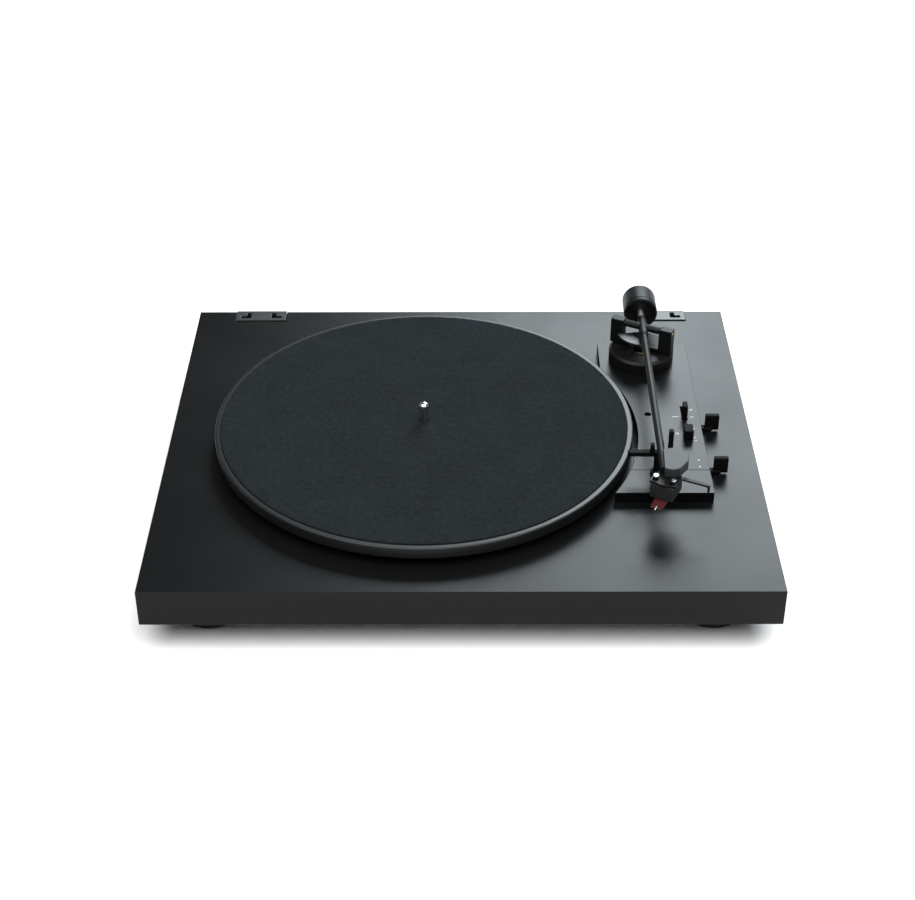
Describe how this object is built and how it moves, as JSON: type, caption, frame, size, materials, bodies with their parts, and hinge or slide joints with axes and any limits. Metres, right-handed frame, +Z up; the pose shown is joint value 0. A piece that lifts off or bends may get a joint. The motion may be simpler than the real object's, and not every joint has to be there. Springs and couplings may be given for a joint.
{
  "type": "turntable record player",
  "caption": "Belt-driven automatic turntable: flat black plinth, felt-matted platter and a straight tonearm with counterweight and levers on a raised board.",
  "frame": {"origin": "on the floor under the middle of the plinth, at the feet's soles", "axes": "+X to the right seen from the front, +Y to the back, +Z up; the front face looks along -Y"},
  "size_m": [0.43, 0.365, 0.1],
  "materials": {
    "plinth_paint": "matte black paint with a fine grain on fibreboard",
    "board_paint": "matte black",
    "black_plastic": "fine satin black",
    "black_metal": "satin black",
    "platter_metal": "black satin, turned",
    "felt": "mottled charcoal felt",
    "rubber": "matte",
    "steel": "turned",
    "chrome": "polished",
    "zinc_plate": "zinc plated",
    "brass": "turned",
    "stylus_red": "glossy dark red",
    "circuit_green": "solder mask",
    "nylon": "natural"
  },
  "bodies": {
    "root": {"plinth": "plinth_paint", "base_plate": "zinc_plate", "base_screw_left": "zinc_plate", "base_screw_right": "zinc_plate", "base_screw_front": "zinc_plate", "base_screw_rear": "zinc_plate", "foot_front_left": "rubber", "foot_front_right": "rubber", "foot_rear_left": "rubber", "foot_rear_right": "rubber", "hinge_socket_left": "black_plastic", "hinge_socket_right": "black_plastic", "bearing_housing": "steel", "thrust_pad": "nylon", "motor_plate": "zinc_plate", "motor": "zinc_plate", "drive_belt": "rubber", "arm_board": "board_paint", "arm_board_front": "board_paint", "chassis_plate": "zinc_plate", "lift_lever_post": "steel", "start_lever_post": "steel", "arm_base": "black_metal", "arm_bearing_bush": "brass", "arm_rest": "black_plastic", "socket_panel": "black_metal", "phono_socket_left": "steel", "phono_socket_right": "brass", "ground_terminal": "steel", "power_inlet": "black_plastic", "circuit_board": "circuit_green"},
    "platter": {"spindle": "chrome", "sub_platter": "black_plastic", "platter": "platter_metal", "platter_mat": "felt"},
    "motor_rotor": {"motor_pulley": "brass"},
    "arm_yoke": {"arm_yoke": "black_metal", "arm_post": "steel", "pivot_pin_left": "brass", "pivot_pin_right": "brass"},
    "tonearm": {"arm_sleeve": "black_metal", "arm_tube": "black_metal", "counterweight_stub": "steel", "headshell": "black_metal", "headshell_cap": "black_metal", "finger_lift": "black_metal", "cartridge": "black_plastic", "cartridge_screw_left": "chrome", "cartridge_screw_right": "chrome"},
    "stylus": {"stylus_holder": "stylus_red"},
    "counterweight": {"counterweight": "black_metal"},
    "lift_lever": {"lift_lever": "black_plastic"},
    "start_lever": {"start_lever": "black_plastic"},
    "lift_platform": {"lift_platform": "black_plastic"},
    "speed_selector": {"speed_selector": "black_plastic"},
    "size_selector": {"size_selector": "black_plastic"}
  },
  "joints": [
    {"name": "platter_spin", "type": "hinge", "parent": "root", "child": "platter", "pos_m": [-0.027, -0.002, 0.06], "axis": [0, 0, -1], "continuous": true},
    {"name": "motor_spin", "type": "hinge", "parent": "root", "child": "motor_rotor", "pos_m": [-0.112, 0.083, 0.055], "axis": [0, 0, -1], "continuous": true},
    {"name": "arm_swing", "type": "hinge", "parent": "root", "child": "arm_yoke", "pos_m": [0.141, 0.0955, 0.07], "axis": [0, 0, -1], "range_deg": [0, 43]},
    {"name": "arm_pitch", "type": "hinge", "parent": "arm_yoke", "child": "tonearm", "pos_m": [0.141, 0.0955, 0.087], "axis": [-0.891, 0.454, 0], "range_deg": [0, 2.2]},
    {"name": "counterweight_slide", "type": "slide", "parent": "tonearm", "child": "counterweight", "axis": [0.0087, 1, 0], "range_m": [-0.004, 0.009]},
    {"name": "stylus_pull", "type": "slide", "parent": "tonearm", "child": "stylus", "axis": [-0.454, -0.891, 0], "range_m": [0, 0.008]},
    {"name": "lift_lever_swing", "type": "hinge", "parent": "root", "child": "lift_lever", "pos_m": [0.14, 0.007, 0.052], "axis": [0, 0, -1], "range_deg": [0, 9.8]},
    {"name": "lift_platform_rise", "type": "slide", "parent": "root", "child": "lift_platform", "axis": [0, 0, 1], "range_m": [0, 0.0016]},
    {"name": "start_lever_swing", "type": "hinge", "parent": "root", "child": "start_lever", "pos_m": [0.14, -0.048, 0.052], "axis": [0, 0, 1], "range_deg": [0, 9.8], "stiffness_Nm_per_rad": 0.02},
    {"name": "speed_slide", "type": "slide", "parent": "root", "child": "speed_selector", "axis": [0, 1, 0], "range_m": [0, 0.0099]},
    {"name": "size_slide", "type": "slide", "parent": "root", "child": "size_selector", "axis": [0, 1, 0], "range_m": [0, 0.0118]}
  ],
  "couplings": [
    {"joint": "motor_spin", "follows": "platter_spin", "ratio": 9.375},
    {"joint": "arm_pitch", "follows": "lift_lever_swing", "ratio": 0.2244},
    {"joint": "lift_platform_rise", "follows": "lift_lever_swing", "m_per_rad": 0.00935}
  ]
}
